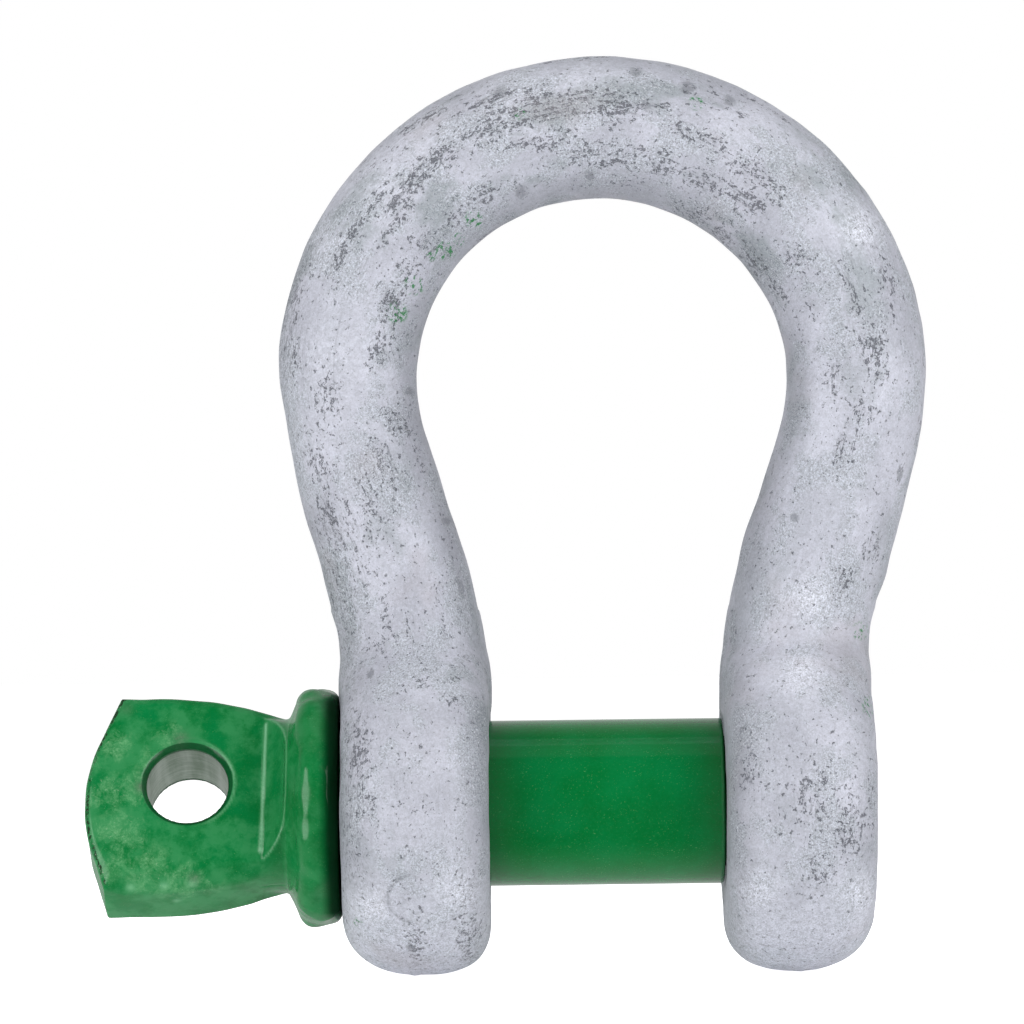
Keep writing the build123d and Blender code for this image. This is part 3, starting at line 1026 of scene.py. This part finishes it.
def paint_material():
    """Glossy green enamel over forged steel: dust, scuffs and chips, and bare steel in the eye."""
    material, tree, shader = new_material("green_enamel")
    metres = node(tree, "ShaderNodeTexCoord").outputs["Object"]
    place = stretched(tree, metres, (1000.0, 1000.0, 1000.0))
    tab = attribute(tree, "tab", "Vector")
    collar_gap_shade = attribute(tree, "collar_gap_shade")
    chalky = attribute(tree, "chalky")
    eye_x, eye_w, eye_h = node(tree, "ShaderNodeSeparateXYZ", {0: tab}).outputs
    eye_r = math_node(tree, "SQRT", plus(tree, times(tree, eye_x, eye_x), times(tree, eye_w, eye_w)))
    ragged = noise(tree, place, 1.3, 4.0, 0.6)
    deep = plus(tree, math_node(tree, "ABSOLUTE", eye_h), times(tree, ragged, 0.5))
    bare = times(tree, between(tree, deep, 5.45, 5.25), between(tree, eye_r, 6.75, 6.6))
    fine = noise(tree, place, 2.2, 3.0, 0.6)
    powder = noise(tree, place, 2.6, 3.0, 0.8)

    colour = enamel(tree, place, fine, chalky)
    colour, worn = scuffs(tree, colour, place, powder)
    colour = stains_and_painted_light(tree, colour, powder, eye_r)
    colour, chipped = chipped_rim(tree, colour, place, powder)
    # painted shade: near-black green on the collar's rim beside the ear, where the gap between them lies in
    # shadow
    colour = mixed(tree, times(tree, collar_gap_shade, 0.92), colour, rgb(0.002, 0.016, 0.006))
    steel, turned = eye_steel(tree, eye_x, eye_w, eye_h)
    colour = mixed(tree, bare, colour, steel)

    worn = larger(tree, worn, chipped)
    rough = plus(tree, plus(tree, 0.30, times(tree, worn, 0.3)), times(tree, bare, 0.10))
    height = plus(tree, noise(tree, place, 0.55, 2.0, 0.5), times(tree, fine, 0.10))
    height = minus(tree, height, times(tree, worn, 0.5))
    height = plus(tree, height, times(tree, times(tree, turned, bare), 0.4))
    bump = node(tree, "ShaderNodeBump", {"Height": height, "Strength": 0.35, "Distance": 0.0002})
    dry = larger(tree, larger(tree, bare, worn), times(tree, collar_gap_shade, 0.9))
    dry = larger(tree, dry, times(tree, chalky, 0.35))
    fill(tree, shader, {
        "Base Color": colour,
        "Roughness": rough,
        "Metallic": times(tree, bare, 0.9),
        "Specular IOR Level": 0.0,
        "Coat Weight": minus(tree, 1.0, dry),
        "Coat Roughness": between(tree, chalky, 0.0, 0.6, 0.07, 0.20),
        "Normal": bump.outputs[0],
    })
    return material


# ------------------------------ pieces

def spots(points, places):
    """How strongly each point lies in any of the places, whose last number is their reach."""
    total = np.zeros(len(points))
    for *centre, reach in places:
        away = ((points - np.array(centre)) ** 2).sum(axis=1)
        total = np.maximum(total, np.exp(-away / reach**2))
    return total


def front_spots(points, places):
    """The same for places given as (x, z, reach) on the front."""
    return spots(points[:, [0, 2]], places) * smooth_step(0.5, -2.0, points[:, 1])


def bar_spots(points, places):
    """The same for marks drawn out along the bar."""
    across, run, _ = bar_frame(points[:, 0], points[:, 2])
    total = np.zeros(len(points))
    for x, z, reach in places:
        place_across, place_run, _ = bar_frame(np.array([x]), np.array([z]))
        long = (run - place_run) / (1.7 * reach)
        wide = (across - place_across) / (0.75 * reach)
        same_leg = np.sign(points[:, 0]) == np.sign(x)
        total = np.maximum(total, np.exp(-(long**2 + wide**2)) * same_leg)
    return total * smooth_step(0.5, -2.0, points[:, 1])


def mark_bow(obj, points):
    """Where the zinc is worn, pitted, peppered, clean, white, aged and flecked with green, where painted
    light whitens the ears' bottoms and where a painted shade line runs round the left ear's hollow.
    """
    x, y, z = points.T
    across, run, _ = bar_frame(x, z)
    side = np.where(x < 0, -1.0, 1.0)
    add_vector(obj, "bar", np.stack([run * side, across, y], axis=1))
    add_number(obj, "worn", bar_spots(points, WORN_PLACES))
    outer_face = smooth_step(EAR_OUTER_X - 0.6, EAR_OUTER_X - 0.2, np.abs(x)) * (z < 18.0)
    add_number(obj, "green", front_spots(points, GREEN_PLACES) * (1 - outer_face))

    boss_r = np.hypot(x - BOSS[0], z - BOSS[1])
    # painted shade: a dark line round the rim of the hollow on the left ear, where its edge falls in shade
    boss_rim_shade = 0.8 * np.exp(-(((boss_r - BOSS[2]) / 0.4) ** 2)) * smooth_step(1.5, -1.0, x - BOSS[0])
    add_number(obj, "pit_and_boss_shade", np.maximum(front_spots(points, PIT_PLACES), boss_rim_shade * (y < 0)))

    clean = front_spots(points, CLEAN_PLACES)
    add_number(obj, "clean", clean)
    white = np.maximum(front_spots(points, WHITE_PLACES), 0.4 * front_spots(points, PALE_PLACES))
    # painted light: whiter towards the ears' bottoms, where light from below falls
    add_number(obj, "white", np.maximum(white, 0.6 * smooth_step(-11.0, -19.0, z)))

    left_leg = smooth_step(-14.0, -18.0, x) * smooth_step(-14.0, 0.0, z) * smooth_step(60.0, 48.0, z)
    age = 0.30 + 0.70 * smooth_step(50.0, 88.0, z) + 0.35 * left_leg
    add_number(obj, "age", age * (1 - 0.8 * clean))

    by_collar = smooth_step(-35.5, -39.5, x) * smooth_step(48.0, 40.0, z) * smooth_step(-16.0, -8.0, z)
    streak = np.exp(-((across - 9.8) ** 2)) * smooth_step(60.0, 66.0, z) * smooth_step(92.0, 84.0, z)
    add_number(obj, "pepper", np.maximum(by_collar, 1.5 * streak * (x < 0) * (y < 1.0)))


def make_bow():
    obj, points = skin("bow_forged", bow_distance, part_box("bow"), BOW_STEP)
    face_outwards(obj)
    mark_bow(obj, points)
    obj.data.materials.append(zinc_material())
    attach(obj, "bow")
    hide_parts("bow")


def highlight_lines(x, y, z, width, height):
    """Painted highlights: pale paint along the bead, along the ramp's sides and in a part ring round the
    eye, where light catches these edges.
    """
    foot = np.exp(-((from_bead(x, width) / 0.22) ** 2)) * smooth_step(11.2, 10.6, np.abs(width))
    wedge, cone = ramp_distances(x, y, z, height)
    side = np.exp(-(((wedge - cone) / 0.2) ** 2)) * smooth_step(-53.2, -52.8, x) * (np.abs(wedge) < 1.0)
    eye_r = np.hypot(x - EYE_X, width - EYE_LIFT)
    ring = np.exp(-(((eye_r - EYE_RADIUS - 1.05) / 0.2) ** 2)) * smooth_step(1.0, 5.0, x - EYE_X)
    in_front = (height > 2.0) & (x < -49.0)
    return in_front * np.maximum(foot, 0.45 * np.maximum(side, ring))


def mark_pin(obj, points):
    """Where the paint is scuffed, smudged, chipped and chalky, where pale drops and painted highlight lines
    lie, where the shank is darker by the ears, and where the collar gets painted shade beside the ear.
    """
    x, y, z = points.T
    width, height = tab_frame(y, z)
    add_vector(obj, "tab", np.stack([x - EYE_X, width - EYE_LIFT, height], axis=1))
    add_number(obj, "scuffed", spots(points, SCUFF_PLACES))
    add_number(obj, "smudge", spots(points, SMUDGE_PLACES))
    drops = 0.6 * spots(points, DROP_PLACES)
    # painted highlight lines, and pale dried drops
    add_number(obj, "crease_highlight_and_drops", np.maximum(highlight_lines(x, y, z, width, height), drops))
    in_mouth = np.abs(x) < SHANK_END_X + 1.0
    add_number(obj, "ends", np.exp(-(((np.abs(x) - SHANK_END_X) / 3.5) ** 2)) * in_mouth)
    # painted shade on the collar's rim beside the ear
    by_ear = smooth_step(-44.3, -42.3, x) * (x < -40.0) * (np.hypot(y, z) > SHANK_RADIUS + 0.3)
    add_number(obj, "collar_gap_shade", by_ear * smooth_step(18.2, 16.0, np.abs(z)))
    flat = polygon_distance(x, width, TAB_OUTLINE)
    near_rim = np.exp(-(((flat + 0.45) / 0.38) ** 2)) * np.exp(-(((height - TAB_HALF + 0.45) / 0.55) ** 2))
    add_number(obj, "rim", near_rim * smooth_step(-73.5, -75.0, x))
    add_number(obj, "chalky", 0.6 * smooth_step(-42.5, -44.5, x) + 0.4 * smooth_step(-50.5, -53.5, x))


def make_pin():
    obj, points = skin("screw_pin_forged", pin_distance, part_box("screw_pin"), PIN_STEP)
    face_outwards(obj)
    mark_pin(obj, points)
    obj.data.materials.append(paint_material())
    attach(obj, "pin")
    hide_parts("screw_pin")


# ------------------------------ stage

def make_floor():
    """A white sheet just under the ears, seen nearly white and lighting the shackle less."""
    mesh = bpy.data.meshes.new("floor")
    half = 6.0
    gap = 0.0001
    z = cad_box[0][2] - gap
    corners = [(-half, -half, z), (half, -half, z), (half, half, z), (-half, half, z)]
    mesh.from_pydata(corners, [], [(0, 1, 2, 3)])
    floor = bpy.data.objects.new("floor", mesh)
    bpy.context.scene.collection.objects.link(floor)
    material, tree, shader = new_material("floor_white")
    path = node(tree, "ShaderNodeLightPath")
    glow = between(tree, path.outputs["Is Camera Ray"], 0.0, 1.0, FLOOR_BOUNCE, FLOOR_SEEN)
    fill(tree, shader, {
        "Base Color": rgb(0.88, 0.88, 0.89),
        "Roughness": 0.9,
        "Specular IOR Level": 0.0,
        "Emission Color": rgb(1, 1, 1),
        "Emission Strength": glow,
    })
    mesh.materials.append(material)
    floor.visible_glossy = False


def make_world():
    """White to the camera, and otherwise a room that is dark in front and bright behind and below."""
    world = bpy.data.worlds.new("studio")
    bpy.context.scene.world = world
    world.use_nodes = True
    tree = world.node_tree
    tree.nodes.clear()
    path = node(tree, "ShaderNodeLightPath")
    way = node(tree, "ShaderNodeTexCoord").outputs["Generated"]
    parts = node(tree, "ShaderNodeSeparateXYZ", {0: way})
    rearward = minus(tree, parts.outputs[1], times(tree, parts.outputs[2], 0.35))
    level = between(tree, rearward, -0.4, 0.9, ROOM_DARK, ROOM_BRIGHT)
    level = times(tree, level, between(tree, path.outputs["Is Glossy Ray"], 0.0, 1.0, 1.0, ROOM_GLOSS))
    room = node(tree, "ShaderNodeBackground", {"Color": rgb(1.0, 1.0, 1.0), "Strength": level})
    seen = node(tree, "ShaderNodeBackground", {"Color": rgb(1.0, 1.0, 1.0), "Strength": 1.0})
    both = node(tree, "ShaderNodeMixShader", {
        0: path.outputs["Is Camera Ray"], 1: room.outputs[0], 2: seen.outputs[0],
    })
    out = node(tree, "ShaderNodeOutputWorld")
    tree.links.new(both.outputs[0], out.inputs["Surface"])


def soft_box(name, azimuth, elevation, distance, size, watts):
    """A square soft light looking at the middle of the shackle."""
    light = bpy.data.lights.new(name, "AREA")
    light.shape = "RECTANGLE"
    light.size, light.size_y = size
    light.energy = watts
    lamp = bpy.data.objects.new(name, light)
    bpy.context.scene.collection.objects.link(lamp)
    a, e = math.radians(azimuth), math.radians(elevation)
    target = Vector((-0.01, 0.0, 0.045))
    away = Vector((math.sin(a) * math.cos(e), -math.cos(a) * math.cos(e), math.sin(e)))
    lamp.location = target + away * distance
    lamp.rotation_euler = (-away).to_track_quat("-Z", "Y").to_euler()
    return lamp


def make_lights():
    soft_box("key_left", -48, 10, 0.8, (0.45, 0.8), 4.4)
    soft_box("key_right", 48, 10, 0.8, (0.45, 0.8), 4.4)
    soft_box("overhead", 0, 84, 0.8, (0.8, 0.35), 2.9).visible_glossy = False
    soft_box("top_strip", 0, 79, 0.8, (0.9, 0.36), 0.16)
    soft_box("back_fill", 180, 30, 0.9, (0.8, 0.5), 2.0).visible_glossy = False


def make_camera():
    """The viewing point: aimed at the bow, almost level and square on to its plane."""
    distance = 859.0
    view_width = 159.006            # of the bow's plane that the picture shows
    middle = Vector((-14.11, 0.0, 45.15))
    roll = math.radians(0.72)
    elevation = math.radians(-1.3)
    data = bpy.data.cameras.new("camera")
    data.sensor_width = 36.0
    data.lens = data.sensor_width * distance / view_width
    data.clip_start = 0.05
    data.clip_end = 30.0
    camera = bpy.data.objects.new("camera", data)
    bpy.context.scene.collection.objects.link(camera)
    back = Vector((0.0, -math.cos(elevation), math.sin(elevation)))
    right = Vector((1.0, 0.0, 0.0))
    up = back.cross(right)
    turned_right = right * math.cos(roll) - up * math.sin(roll)
    turned_up = right * math.sin(roll) + up * math.cos(roll)
    rotation = Matrix((turned_right, turned_up, back)).transposed().to_4x4()
    camera.matrix_world = Matrix.Translation((middle + back * distance) * MM) @ rotation
    bpy.context.scene.camera = camera


make_bow()
make_pin()
make_floor()
make_world()
make_lights()
make_camera()
bpy.context.scene.view_settings.view_transform = "Standard"
bpy.context.view_layer.update()
